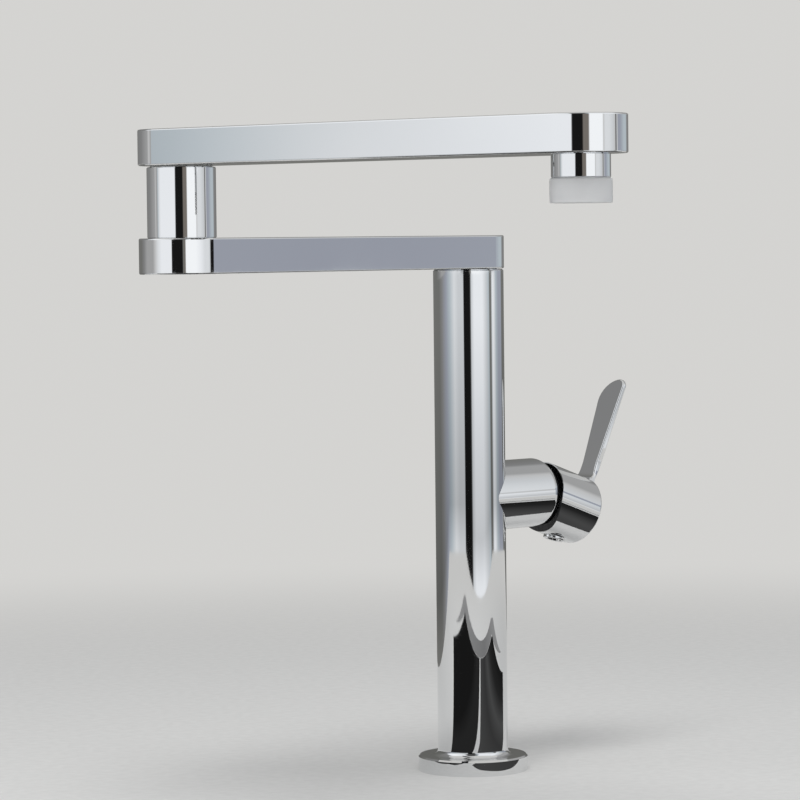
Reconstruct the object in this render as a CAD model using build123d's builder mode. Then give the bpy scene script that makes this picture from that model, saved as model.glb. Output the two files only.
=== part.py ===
from build123d import *
from math import cos, radians, sin, tan
import os

# Single-hole kitchen mixer whose spout folds: two arms turn on upright swivels and
# a side lever tilts and turns a ceramic cartridge. Millimetres, +Z up. The origin is
# on the worktop, under the axis of the column. The lever points along +X.

# Fits
running_gap = 0.05  # round pieces that turn or slide in each other
assembly_gap = 0.1  # round pieces put together by hand or brazed
clear_gap = 0.35  # pieces that move past each other without touching
face_gap = 0.05  # flat faces that turn on each other
film_gap = 0.02  # lapped ceramic faces and seals on their walls
cut_margin = 1.0  # how far a cutting shape runs past what it cuts

# Foot and worktop clamp
deck_thickness = 20.0
flange_radius = 27.3
flange_height = 7.7
flange_bevel = 0.8
flange_cove = 2.8
shank_radius = 16.0
shank_bore_radius = 12.5
shank_below_deck = 48.0
shank_step = 8.0
shank_spigot = 14.0
shank_lead_bevel = 1.0
gasket_inner_radius = 20.5
gasket_outer_radius = 24.5
gasket_depth = 1.8
clamp_hole_gap = 0.4
rubber_washer_radius = 26.0
rubber_washer_thickness = 2.5
clamp_washer_radius = 27.0
clamp_washer_thickness = 2.0
nut_across_flats = 42.0
nut_height = 10.0
nut_bevel = 1.2

# Column
column_radius = 17.5
column_wall = 2.0
column_top_bevel = 0.8

# Folding arms
lower_arm_bottom = 250.1
arm_thickness = 16.3
arm_gap = 32.8
lower_arm_length = 202.0
lower_arm_heading = 186.5
lower_arm_root_radius = 17.8
lower_arm_end_radius = 19.65
lower_arm_edge = 0.7
upper_arm_length = 225.0
upper_arm_heading = -82.05
upper_arm_radius = 19.6
upper_arm_edge = 0.7
arm_wall = 3.2
arm_channel_width = 18.0
riser_radius = 15.7
riser_edge = 0.4

# Arm swivels
column_swivel_gap = 0.3
riser_swivel_gap = 0.7
spigot_radius = 9.0
spigot_boss_radius = 10.5
spigot_bore_radius = 5.5
spigot_length = 18.5
spigot_lead_bevel = 0.8
socket_floor = 6.0
swivel_washer_radius = 14.2
swivel_washer_seat = 1.2
clip_depth = 8.0
clip_thickness = 1.5
clip_bite = 0.9
clip_opening = 60.0
clip_slack = 0.2
socket_end_gap = 0.5
swivel_ring_thickness = 1.9
swivel_ring_slack = 0.1
swivel_ring_depths = (11.6, 15.4)

# Outlet pipe inside the column
pipe_radius = 5.0
pipe_bore_radius = 4.0
pipe_seat = 5.0

# Nozzle
collar_radius = 12.4
collar_height = 10.0
collar_edge = 0.4
aerator_radius = 13.1
aerator_barrel = 0.15
aerator_height = 10.4
aerator_top_bevel = 0.6
aerator_lip_round = 0.5
aerator_neck_radius = 10.5
aerator_neck_height = 6.0
aerator_mouth_radius = 9.0
aerator_ledge_radius = 7.6
insert_height = 6.5
insert_recess = 1.6
insert_hole_radius = 0.85
insert_hole_pitch = 2.9
insert_hole_rows = 5
aerator_washer_thickness = 1.4

# Valve housing and body, measured along +X from the column's axis
valve_height = 136.2
housing_radius = 17.3
housing_length = 47.1
housing_rim_round = 4.5
housing_spigot_radius = 11.0
housing_spigot_start = 3.2
chamber_depth = 26.4
valve_body_half_height = 25.0
valve_body_socket_depth = 3.0
inlet_radius = 5.0
inlet_depth = 12.0
inlet_offset = 6.5
inlet_channel_radius = 2.3
inlet_channel_drop = 4.5
outlet_channel_radius = 3.0
outlet_channel_rise = 6.0
channel_step = 0.3

# Cartridge
cartridge_radius = 12.5
cartridge_wall = 1.7
cartridge_neck_radius = 11.0
cartridge_neck_length = 3.4
cartridge_mouth_radius = 8.6
cartridge_lid = 1.1
seal_thickness = 1.0
port_plate_thickness = 3.5
disc_radius = 8.6
fixed_disc_radius = 9.6
fixed_disc_thickness = 3.2
moving_disc_thickness = 3.0
disc_flat = 7.8
mixing_pocket_length = 11.6
mixing_pocket_width = 7.6
mixing_pocket_depth = 1.6
driver_radius = 8.2
driver_thickness = 4.2
driver_pocket_floor = 0.5
port_radius = 2.0
carrier_radius = 10.0
carrier_length = 8.2
carrier_leg_length = 4.4
carrier_leg_width = 8.0
carrier_leg_thickness = 1.5
nut_thread_radius = 14.0
cap_nut_thickness = 4.2
nut_slot_width = 3.0
nut_slot_depth = 1.2
gap_ring_height = 3.6

# Handle
pivot_sink = 4.4
rest_tilt = 19.0
tilt_open_more = 6.0
hub_radius = 17.4
hub_end = 36.0
hub_crown = 1.6
hub_edge = 1.2
hub_start = 5.0
hub_sphere_radius = 17.65
stem_width = 7.0
stem_end = 28.4
stem_eye_radius = 4.2
stem_neck_radius = 1.5
stem_swing_room = 1.3
ball_reach = 8.7
ball_radius = 1.9
pin_radius = 1.25
pin_end_gap = 0.4
set_screw_reach = 23.0
set_screw_radius = 5.0
set_screw_sink = 1.0
set_screw_socket = 2.5
set_screw_socket_depth = 3.0
screw_countersink = 5.8
blade_reach = 35.8
blade_lean = 5.5
blade_root_thickness = 3.5
blade_tip_thickness = 2.2
blade_waist_height = 28.0
blade_waist = 5.3
blade_root_width = 8.2
blade_root_height = 12.0
blade_shoulder_height = 60.1
blade_shoulder = 7.8
blade_tip_radius = 12.3
blade_corner_angle = 15.0
blade_corner_radius = 4.0
blade_edge = 0.8
blade_root_fillet = 3.0
blade_foot_drop = 1.5
blade_foot_reach = 1.0

# Derived heights and places
column_bore_radius = column_radius - column_wall
column_top = lower_arm_bottom - column_swivel_gap
column_foot = flange_height + flange_cove
lower_arm_top = lower_arm_bottom + arm_thickness
upper_arm_bottom = lower_arm_top + arm_gap
riser_top = upper_arm_bottom - riser_swivel_gap
knuckle_x = lower_arm_length * cos(radians(lower_arm_heading))
knuckle_y = lower_arm_length * sin(radians(lower_arm_heading))
nozzle_x = knuckle_x + upper_arm_length * cos(radians(upper_arm_heading))
nozzle_y = knuckle_y + upper_arm_length * sin(radians(upper_arm_heading))
socket_depth = spigot_length + socket_end_gap
spigot_socket_radius = spigot_radius + running_gap
clip_outer_radius = spigot_radius + clip_bite
clip_inner_radius = spigot_radius - clip_bite + clip_slack
ring_floor_radius = spigot_socket_radius - swivel_ring_thickness + swivel_ring_slack
head_bottom = column_top - socket_depth - socket_floor
valve_body_top = valve_height + valve_body_half_height
valve_body_bottom = valve_height - valve_body_half_height
clamp_washer_top = -deck_thickness - rubber_washer_thickness
nut_top = clamp_washer_top - clamp_washer_thickness
nut_corner_radius = nut_across_flats / 2 / cos(radians(30))
collar_bottom = upper_arm_bottom - collar_height
aerator_bottom = collar_bottom - aerator_height

# Derived places along the valve's axis
port_places = [
    (-inlet_offset, -inlet_channel_drop),
    (inlet_offset, -inlet_channel_drop),
    (0, outlet_channel_rise),
]
chamber_start = housing_length - chamber_depth
pivot_reach = housing_length - pivot_sink
port_plate_start = chamber_start + seal_thickness
fixed_disc_start = port_plate_start + port_plate_thickness
moving_disc_start = fixed_disc_start + fixed_disc_thickness + film_gap
driver_start = moving_disc_start + moving_disc_thickness
carrier_start = driver_start + driver_thickness + clear_gap
cartridge_inner_radius = cartridge_radius - cartridge_wall
lid_start = carrier_start + carrier_length + face_gap
cartridge_top = lid_start + cartridge_lid
neck_start = cartridge_top - cartridge_neck_length
gap_ring_start = neck_start + cap_nut_thickness + 2 * film_gap
stem_slot = 2 * (stem_eye_radius + stem_swing_room)

# The moving disc sits off centre as far as the lever's rest tilt has drawn it
ball_rest_rise = ball_reach * sin(radians(rest_tilt))
disc_travel = ball_reach * sin(radians(rest_tilt + tilt_open_more))
disc_rest = ball_rest_rise - disc_travel / 2

os.makedirs("parts", exist_ok=True)


def finish(builder, label):
    """Name a finished piece and write it."""
    builder.part.label = label
    export_step(builder.part, f"parts/{label}.step")


def across(distance):
    """Plane square to the valve's axis, this far along +X from the column's axis."""
    return Plane(origin=(distance, 0, valve_height), x_dir=(0, 1, 0), z_dir=(1, 0, 0))


def disc_at(plane, radius, height, hole_radius=0.0):
    """Round plate or tube on a plane, with a hole where one is asked for."""
    with BuildSketch(plane) as outline:
        Circle(radius)
        if hole_radius > 0:
            Circle(hole_radius, mode=Mode.SUBTRACT)
    extrude(outline.sketch, amount=height)


def bore_at(plane, radius, depth):
    """Round pocket cut from a plane along its normal."""
    with BuildSketch(plane) as outline:
        Circle(radius)
    extrude(outline.sketch, amount=depth, mode=Mode.SUBTRACT)


def level(x, y, z):
    """Level plane through a point."""
    return Plane(origin=(x, y, z))


# Base flange: a turned foot whose cove runs up into the column
with BuildPart() as base_flange:
    with BuildSketch(Plane.XZ):
        with BuildLine():
            Line((0, 0), (flange_radius, 0))
            Line((flange_radius, 0), (flange_radius, flange_height - flange_bevel))
            Polyline(
                (flange_radius, flange_height - flange_bevel),
                (flange_radius - flange_bevel, flange_height),
                (column_radius + flange_cove, flange_height),
            )
            RadiusArc(
                (column_radius + flange_cove, flange_height),
                (column_radius, column_foot),
                flange_cove,
            )
            Line((column_radius, column_foot), (0, column_foot))
            Line((0, column_foot), (0, 0))
        make_face()
    revolve(axis=Axis.Z)
    bore_at(level(0, 0, 0), shank_radius + running_gap, shank_step)
    bore_at(level(0, 0, shank_step), column_bore_radius, column_foot)
    with BuildSketch(level(0, 0, 0)):
        Circle(gasket_outer_radius)
        Circle(gasket_inner_radius, mode=Mode.SUBTRACT)
    extrude(amount=gasket_depth, mode=Mode.SUBTRACT)
finish(base_flange, "base_flange")

# Base gasket in the flange's groove, level with its underside
with BuildPart() as base_gasket:
    disc_at(
        level(0, 0, 0),
        gasket_outer_radius - film_gap,
        gasket_depth - film_gap,
        gasket_inner_radius + film_gap,
    )
finish(base_gasket, "base_gasket")

# Column: one plain tube with a round window for the valve housing
with BuildPart() as column:
    disc_at(level(0, 0, column_foot), column_radius, column_top - column_foot, column_bore_radius)
    chamfer(
        column.faces().sort_by(Axis.Z)[-1].edges().sort_by(SortBy.RADIUS)[-1],
        length=column_top_bevel,
    )
    bore_at(across(0), housing_spigot_radius + assembly_gap, column_radius + cut_margin)
finish(column, "column")

# Threaded shank: hollow, so that both supply hoses pass through it
with BuildPart() as mounting_shank:
    disc_at(
        level(0, 0, -shank_below_deck),
        shank_radius,
        shank_below_deck + shank_step - film_gap,
    )
    disc_at(level(0, 0, shank_step - film_gap), column_bore_radius - running_gap, shank_spigot)
    bore_at(level(0, 0, -shank_below_deck), shank_bore_radius, shank_below_deck + shank_step + shank_spigot)
    chamfer(
        mounting_shank.faces().sort_by(Axis.Z)[0].edges().sort_by(SortBy.RADIUS)[-1],
        length=shank_lead_bevel,
    )
finish(mounting_shank, "mounting_shank")

# Worktop clamp: rubber washer, steel washer and hexagon nut
with BuildPart() as rubber_washer:
    disc_at(
        level(0, 0, -deck_thickness - rubber_washer_thickness),
        rubber_washer_radius,
        rubber_washer_thickness,
        shank_radius + clamp_hole_gap,
    )
finish(rubber_washer, "rubber_washer")

with BuildPart() as clamp_washer:
    disc_at(
        level(0, 0, clamp_washer_top - clamp_washer_thickness),
        clamp_washer_radius,
        clamp_washer_thickness,
        shank_radius + clamp_hole_gap,
    )
finish(clamp_washer, "clamp_washer")

with BuildPart() as mounting_nut:
    with BuildSketch(level(0, 0, nut_top - nut_height)):
        RegularPolygon(radius=nut_across_flats / 2, side_count=6, major_radius=False)
    extrude(amount=nut_height)
    with BuildSketch(Plane.XZ):
        with BuildLine():
            Polyline(
                (nut_across_flats / 2, nut_top - nut_height),
                (nut_corner_radius + cut_margin, nut_top - nut_height),
                (nut_corner_radius + cut_margin, nut_top - nut_height + nut_bevel),
                (nut_corner_radius, nut_top - nut_height + nut_bevel),
                close=True,
            )
        make_face()
    revolve(axis=Axis.Z, mode=Mode.SUBTRACT)
    bore_at(level(0, 0, nut_top - nut_height), shank_radius + running_gap, nut_height)
finish(mounting_nut, "mounting_nut")

# Valve body: the brass core inside the column, fed from below through two inlets
with BuildPart() as valve_body:
    disc_at(
        level(0, 0, valve_body_bottom),
        column_bore_radius - running_gap,
        2 * valve_body_half_height,
    )
    bore_at(across(valve_body_socket_depth), housing_spigot_radius + running_gap, column_radius)
    for side in (-1, 1):
        inlet_y = side * inlet_offset
        bore_at(level(0, inlet_y, valve_body_bottom), inlet_radius, inlet_depth)
        upright_radius = inlet_channel_radius + channel_step
        upright_top = valve_height - inlet_channel_drop + upright_radius
        bore_at(level(0, inlet_y, valve_body_bottom), upright_radius, upright_top - valve_body_bottom)
        with BuildSketch(across(0)):
            with Locations((inlet_y, -inlet_channel_drop)):
                Circle(inlet_channel_radius)
        extrude(amount=valve_body_socket_depth, mode=Mode.SUBTRACT)
    outlet_upright_radius = outlet_channel_radius + channel_step
    bore_at(
        level(0, 0, valve_height + outlet_channel_rise - outlet_upright_radius),
        outlet_upright_radius,
        valve_body_half_height,
    )
    with BuildSketch(across(0)):
        with Locations((0, outlet_channel_rise)):
            Circle(outlet_channel_radius)
    extrude(amount=valve_body_socket_depth, mode=Mode.SUBTRACT)
    bore_at(level(0, 0, valve_body_top - pipe_seat), pipe_radius + running_gap, pipe_seat)
finish(valve_body, "valve_body")

# Outlet pipe from the valve body up to the column head
with BuildPart() as outlet_pipe:
    disc_at(
        level(0, 0, valve_body_top - pipe_seat + film_gap),
        pipe_radius,
        head_bottom - valve_body_top + 2 * pipe_seat - 2 * film_gap,
        pipe_bore_radius,
    )
finish(outlet_pipe, "outlet_pipe")

# Valve housing: a turned stub with a rounded rim, saddled to the column
with BuildPart() as valve_housing:
    disc_at(across(0), housing_radius, housing_length)
    fillet(
        valve_housing.faces().sort_by(Axis.X)[-1].edges(),
        radius=housing_rim_round,
    )
    with BuildSketch(level(0, 0, 0)):
        Circle(column_radius + film_gap)
    extrude(amount=lower_arm_bottom, mode=Mode.SUBTRACT)
    disc_at(
        across(housing_spigot_start),
        housing_spigot_radius,
        chamber_start - housing_spigot_start,
    )
    bore_at(across(chamber_start), cartridge_radius + assembly_gap, housing_length)
    for side in (-1, 1):
        with BuildSketch(across(housing_spigot_start)):
            with Locations((side * inlet_offset, -inlet_channel_drop)):
                Circle(inlet_channel_radius)
        extrude(amount=chamber_start, mode=Mode.SUBTRACT)
    with BuildSketch(across(housing_spigot_start)):
        with Locations((0, outlet_channel_rise)):
            Circle(outlet_channel_radius)
    extrude(amount=chamber_start, mode=Mode.SUBTRACT)
    bore_at(across(neck_start), nut_thread_radius + running_gap, housing_length)
finish(valve_housing, "valve_housing")

# Cartridge, from the chamber's floor outwards: seal, port plate and fixed disc
def ported_plate(start, thickness, radius):
    """Round plate on the valve's axis with its three water ports."""
    disc_at(across(start), radius, thickness)
    with BuildSketch(across(start)) as ports:
        with Locations(*port_places):
            Circle(port_radius)
    extrude(ports.sketch, amount=thickness, mode=Mode.SUBTRACT)


with BuildPart() as cartridge_seal:
    ported_plate(chamber_start + film_gap, seal_thickness - 2 * film_gap, cartridge_radius)
finish(cartridge_seal, "cartridge_seal")

with BuildPart() as port_plate:
    ported_plate(port_plate_start, port_plate_thickness, cartridge_inner_radius - running_gap)
finish(port_plate, "port_plate")

with BuildPart() as fixed_disc:
    ported_plate(fixed_disc_start, fixed_disc_thickness, fixed_disc_radius)
finish(fixed_disc, "fixed_disc")

# Cartridge shell: a plastic cup with a lipped mouth that holds the carrier down
with BuildPart() as cartridge_shell:
    disc_at(across(port_plate_start), cartridge_radius, cartridge_top - port_plate_start)
    with BuildSketch(across(neck_start)):
        Circle(cartridge_radius + cut_margin)
        Circle(cartridge_neck_radius, mode=Mode.SUBTRACT)
    extrude(amount=cartridge_neck_length, mode=Mode.SUBTRACT)
    bore_at(
        across(port_plate_start),
        cartridge_inner_radius,
        carrier_start - port_plate_start + clear_gap,
    )
    bore_at(across(port_plate_start), carrier_radius + running_gap, lid_start - port_plate_start)
    bore_at(across(port_plate_start), cartridge_mouth_radius, cartridge_top)
finish(cartridge_shell, "cartridge_shell")

# Cap nut that presses the cartridge down on its seal, with two spanner slots
with BuildPart() as cap_nut:
    disc_at(
        across(neck_start + film_gap),
        nut_thread_radius,
        cap_nut_thickness,
        cartridge_neck_radius + assembly_gap,
    )
    with BuildSketch(across(neck_start + film_gap + cap_nut_thickness)):
        Rectangle(nut_slot_width, 2 * (nut_thread_radius + cut_margin))
    extrude(amount=-nut_slot_depth, mode=Mode.SUBTRACT)
finish(cap_nut, "cap_nut")

# Black ring that fills the gap between the housing's rim and the lever's hub
with BuildPart() as gap_ring:
    disc_at(
        across(gap_ring_start),
        nut_thread_radius,
        gap_ring_height,
        cartridge_neck_radius + assembly_gap,
    )
    fillet(
        gap_ring.faces().sort_by(Axis.X)[-1].edges().sort_by(SortBy.RADIUS)[-1],
        radius=gap_ring_height / 2,
    )
finish(gap_ring, "gap_ring")

# Moving ceramic disc, with flats at its sides and a mixing pocket underneath
def flatted_disc(start, thickness, radius):
    """Round disc with two flats that run between the carrier's legs."""
    with BuildSketch(across(start)) as outline:
        with Locations((0, disc_rest)):
            Circle(radius)
            Rectangle(2 * disc_flat, 2 * radius, mode=Mode.INTERSECT)
    extrude(outline.sketch, amount=thickness)


with BuildPart() as moving_disc:
    flatted_disc(moving_disc_start, moving_disc_thickness, disc_radius)
    with BuildSketch(across(moving_disc_start)):
        with Locations((0, disc_rest)):
            SlotOverall(mixing_pocket_length, mixing_pocket_width)
    extrude(amount=mixing_pocket_depth, mode=Mode.SUBTRACT)
finish(moving_disc, "moving_disc")

# Driver that takes the stem's ball and pushes the moving disc
with BuildPart() as disc_driver:
    flatted_disc(driver_start, driver_thickness, driver_radius)
    with BuildSketch(across(driver_start + driver_pocket_floor)):
        with Locations((0, ball_rest_rise)):
            Circle(ball_radius + clear_gap)
    extrude(amount=driver_thickness, mode=Mode.SUBTRACT)
finish(disc_driver, "disc_driver")

# Stem carrier: turns in the shell, straddles the stem and drives the disc's flats
with BuildPart() as stem_carrier:
    disc_at(across(carrier_start), carrier_radius, carrier_length)
    with BuildSketch(across(carrier_start - carrier_leg_length)):
        with GridLocations(2 * (disc_flat + clear_gap) + carrier_leg_thickness, 0, 2, 1):
            Rectangle(carrier_leg_thickness, carrier_leg_width)
    extrude(amount=carrier_leg_length)
    with BuildSketch(across(carrier_start)):
        Rectangle(stem_width + 2 * clear_gap, stem_slot)
    extrude(amount=carrier_length, mode=Mode.SUBTRACT)
    with BuildSketch(Plane(origin=(pivot_reach, 0, valve_height), x_dir=(1, 0, 0), z_dir=(0, 1, 0))):
        Circle(pin_radius + film_gap)
    extrude(amount=carrier_radius, both=True, mode=Mode.SUBTRACT)
finish(stem_carrier, "stem_carrier")

with BuildPart() as stem_pin:
    with BuildSketch(Plane(origin=(pivot_reach, 0, valve_height), x_dir=(1, 0, 0), z_dir=(0, 1, 0))):
        Circle(pin_radius)
    extrude(amount=carrier_radius - pin_end_gap, both=True)
finish(stem_pin, "stem_pin")

# Handle, placed on its own axis: out along the hub, up, and to the front
tilt = radians(rest_tilt)
hub_out = Vector(cos(tilt), 0, -sin(tilt))
hub_up = Vector(sin(tilt), 0, cos(tilt))
pivot = Vector(pivot_reach, 0, valve_height)


def hub_plane(distance):
    """Plane square to the hub's axis: x runs up the hub and y to the front."""
    return Plane(origin=pivot + hub_out * distance, x_dir=hub_up, z_dir=hub_out)


# Side plane of the handle: x runs out along the hub and y up
hub_side = Plane(origin=pivot, x_dir=hub_out, z_dir=(0, -1, 0))

# The set screw comes in from below
screw_axis_point = pivot + hub_out * set_screw_reach
screw_plane = Plane(origin=screw_axis_point, x_dir=hub_out, z_dir=hub_up * -1)

# Cartridge stem: a square stalk on a pivot eye, with a ball on its lower neck
with BuildPart() as cartridge_stem:
    with BuildSketch(hub_side.offset(-stem_width / 2)):
        Circle(stem_eye_radius)
    extrude(amount=stem_width)
    with BuildSketch(hub_plane(0)):
        Rectangle(stem_width, stem_width)
    extrude(amount=stem_end)
    with BuildSketch(hub_plane(-ball_reach)):
        Circle(stem_neck_radius)
    extrude(amount=ball_reach)
    with BuildSketch(hub_side):
        with Locations((-ball_reach, 0)):
            Circle(ball_radius)
            with Locations((0, -ball_radius)):
                Rectangle(2 * ball_radius, 2 * ball_radius, mode=Mode.SUBTRACT)
    revolve(axis=Axis(origin=pivot, direction=hub_out))
    with BuildSketch(hub_side.offset(-stem_width / 2)):
        Circle(pin_radius + running_gap)
    extrude(amount=stem_width, mode=Mode.SUBTRACT)
finish(cartridge_stem, "cartridge_stem")

# Blade of the lever: its front outline cut to its side outline
lean = tan(radians(blade_lean))
blade_top = blade_shoulder_height + blade_tip_radius
tip_centre = blade_tip_radius - blade_shoulder


def blade_inner(height):
    """Reach of the blade's inner face at a height above the hub's axis."""
    return blade_reach + (height - blade_waist_height) * lean


with BuildPart() as blade:
    with BuildSketch(hub_plane(0)) as front_outline:
        with BuildLine():
            waist_front = (blade_waist_height, blade_waist)
            waist_back = (blade_waist_height, -blade_waist)
            shoulder_back = (blade_shoulder_height, -blade_shoulder)
            corner_front = (
                blade_shoulder_height + blade_tip_radius * cos(radians(blade_corner_angle)),
                tip_centre + blade_tip_radius * sin(radians(blade_corner_angle)),
            )
            front_edge = Line(waist_front, corner_front)
            RadiusArc(corner_front, shoulder_back, blade_tip_radius)
            back_edge = Line(shoulder_back, waist_back)
            foot_back = (blade_root_height, -blade_root_width)
            foot_front = (blade_root_height, blade_root_width)
            TangentArc(waist_back, foot_back, tangent=back_edge % 1)
            Line(foot_back, foot_front)
            TangentArc(waist_front, foot_front, tangent=(front_edge % 0) * -1)
        make_face()
        fillet(
            front_outline.vertices().sort_by_distance(corner_front)[0],
            radius=blade_corner_radius,
        )
    extrude(amount=2 * hub_end)
    with BuildSketch(hub_side) as side_outline:
        with BuildLine():
            root_inner = (blade_inner(blade_root_height) - blade_root_fillet, blade_root_height)
            foot_inner = (blade_inner(hub_radius) - blade_root_fillet, hub_radius)
            rise_inner = (blade_inner(hub_radius + blade_root_fillet), hub_radius + blade_root_fillet)
            tip_height = blade_top + cut_margin
            tip_inner = (blade_inner(tip_height), tip_height)
            tip_outer = (blade_inner(tip_height) + blade_tip_thickness, tip_height)
            waist_outer = (blade_inner(blade_waist_height) + blade_root_thickness, blade_waist_height)
            foot_outer = (hub_end - hub_crown + blade_foot_reach, hub_radius - blade_foot_drop)
            root_outer = (hub_end - hub_crown, blade_root_height)
            Polyline(foot_outer, root_outer, root_inner, foot_inner)
            TangentArc(foot_inner, rise_inner, tangent=(1, 0))
            Line(rise_inner, tip_inner)
            Line(tip_inner, tip_outer)
            outer_face = Line(tip_outer, waist_outer)
            TangentArc(waist_outer, foot_outer, tangent=outer_face % 1)
        make_face()
    extrude(amount=2 * hub_radius, both=True, mode=Mode.INTERSECT)
    fillet(blade.edges().filter_by(lambda e: e.length > 2 * blade_tip_radius), radius=blade_edge)

# Lever handle: a drum hollowed to run over the housing's rim, with the blade on its
# outer end, a square socket for the stem and a threaded hole for the set screw
with BuildPart() as lever_handle:
    with BuildSketch(hub_side) as hub_profile:
        with BuildLine():
            shoulder = (hub_end - hub_crown, hub_radius)
            crown_radius = (hub_radius**2 + hub_crown**2) / (2 * hub_crown)
            Polyline((hub_end, 0), (hub_start, 0), (hub_start, hub_radius), shoulder)
            RadiusArc(shoulder, (hub_end, 0), crown_radius)
        make_face()
        fillet(hub_profile.vertices().sort_by_distance(shoulder)[0], radius=hub_edge)
    revolve(axis=Axis(origin=pivot, direction=hub_out))
    add(blade.part)
    with Locations(pivot):
        Sphere(hub_sphere_radius, mode=Mode.SUBTRACT)
    with BuildSketch(hub_plane(0)):
        Rectangle(stem_width + 2 * running_gap, stem_width + 2 * running_gap)
    extrude(amount=stem_end + assembly_gap, mode=Mode.SUBTRACT)
    with BuildSketch(Plane(origin=screw_axis_point, x_dir=hub_out, z_dir=(0, -1, 0))):
        with BuildLine():
            hole_radius = set_screw_radius + running_gap
            Polyline(
                (0, -stem_width / 2),
                (hole_radius, -stem_width / 2),
                (hole_radius, screw_countersink - hole_radius - hub_radius),
                (screw_countersink + cut_margin, -hub_radius - cut_margin),
                (0, -hub_radius - cut_margin),
                close=True,
            )
        make_face()
    revolve(axis=Axis(origin=screw_axis_point, direction=hub_up), mode=Mode.SUBTRACT)
finish(lever_handle, "lever_handle")

# Set screw: bears on the stem, its socket head just inside the hub's underside
with BuildPart() as set_screw:
    with BuildSketch(screw_plane.offset(stem_width / 2 + running_gap)):
        Circle(set_screw_radius)
    extrude(amount=hub_radius - set_screw_sink - stem_width / 2 - running_gap)
    with BuildSketch(screw_plane.offset(hub_radius - set_screw_sink)):
        RegularPolygon(radius=set_screw_socket, side_count=6, major_radius=False)
    extrude(amount=-set_screw_socket_depth, mode=Mode.SUBTRACT)
finish(set_screw, "set_screw")


def swivel_socket_cuts(x, y, mouth_z, washer_gap):
    """Cut a swivel's socket down from its mouth: washer seat, bore, clip groove."""
    bore_at(level(x, y, mouth_z - swivel_washer_seat), swivel_washer_radius + film_gap, swivel_washer_seat)
    bore_at(level(x, y, mouth_z - swivel_socket_depth(washer_gap)), spigot_socket_radius, mouth_z)
    bore_at(
        level(x, y, mouth_z + washer_gap - clip_depth - clip_thickness - film_gap),
        clip_outer_radius + assembly_gap,
        clip_thickness + 2 * film_gap,
    )


def swivel_socket_depth(washer_gap):
    """Depth of a swivel's socket below its mouth."""
    return spigot_length - washer_gap + socket_end_gap


def make_swivel_washer(x, y, mouth_z, washer_gap, label):
    """Plastic thrust washer that carries an arm on its socket."""
    with BuildPart() as washer:
        disc_at(
            level(x, y, mouth_z - swivel_washer_seat + film_gap),
            swivel_washer_radius - film_gap,
            swivel_washer_seat + washer_gap - face_gap - film_gap,
            spigot_radius + clear_gap,
        )
    finish(washer, label)


def make_clip(x, y, arm_bottom, label):
    """Open spring ring that sits in the socket's groove and holds the spigot down."""
    with BuildPart() as clip:
        disc_at(
            level(x, y, arm_bottom - clip_depth - clip_thickness),
            clip_outer_radius,
            clip_thickness,
            clip_inner_radius,
        )
        with BuildSketch(level(x, y, arm_bottom - clip_depth - clip_thickness)) as opening:
            with BuildLine():
                reach = 2 * clip_outer_radius
                half = radians(clip_opening / 2)
                Polyline(
                    (0, 0),
                    (reach * cos(half), reach * sin(half)),
                    (reach * cos(half), -reach * sin(half)),
                    close=True,
                )
            make_face()
        extrude(opening.sketch, amount=clip_thickness, mode=Mode.SUBTRACT)
    finish(clip, label)


def make_spigot(x, y, arm_bottom, label):
    """Hollow brass spigot under an arm, grooved for its clip and seal rings."""
    with BuildPart() as spigot:
        disc_at(level(x, y, arm_bottom - spigot_length), spigot_radius, spigot_length)
        disc_at(level(x, y, arm_bottom), spigot_boss_radius, arm_wall)
        chamfer(
            spigot.faces().sort_by(Axis.Z)[0].edges(),
            length=spigot_lead_bevel,
        )
        for depth, height, floor_radius in (
            (clip_depth - clear_gap / 2, clip_thickness + clear_gap, clip_inner_radius - clip_slack),
            (swivel_ring_depths[0], swivel_ring_thickness, ring_floor_radius),
            (swivel_ring_depths[1], swivel_ring_thickness, ring_floor_radius),
        ):
            with BuildSketch(level(x, y, arm_bottom - depth - height)) as groove:
                Circle(spigot_radius + cut_margin)
                Circle(floor_radius, mode=Mode.SUBTRACT)
            extrude(groove.sketch, amount=height, mode=Mode.SUBTRACT)
        bore_at(level(x, y, arm_bottom - spigot_length), spigot_bore_radius, spigot_length + arm_wall)
    finish(spigot, label)


def make_seal_rings(x, y, arm_bottom, label):
    """Two rubber rings in a spigot's grooves, just short of the socket's wall."""
    ring_radius = (spigot_socket_radius - film_gap - ring_floor_radius - film_gap) / 2
    centre_radius = spigot_socket_radius - film_gap - ring_radius
    with BuildPart() as rings:
        for depth in swivel_ring_depths:
            ring_z = arm_bottom - depth - swivel_ring_thickness / 2
            with BuildSketch(Plane(origin=(x, y, ring_z), x_dir=(1, 0, 0), z_dir=(0, -1, 0))) as section:
                with Locations((centre_radius, 0)):
                    Circle(ring_radius)
            revolve(section.sketch, axis=Axis((x, y, 0), (0, 0, 1)))
    finish(rings, label)


# Column head: the brass bush in the column's top, with the lower arm's socket
with BuildPart() as column_head:
    disc_at(level(0, 0, head_bottom), column_bore_radius - running_gap, column_top - head_bottom)
    swivel_socket_cuts(0, 0, column_top, column_swivel_gap)
    bore_at(level(0, 0, head_bottom), pipe_radius + running_gap, pipe_seat)
    bore_at(level(0, 0, head_bottom), pipe_bore_radius, column_top - head_bottom)
finish(column_head, "column_head")

make_swivel_washer(0, 0, column_top, column_swivel_gap, "column_washer")
make_clip(0, 0, lower_arm_bottom, "column_clip")

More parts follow.
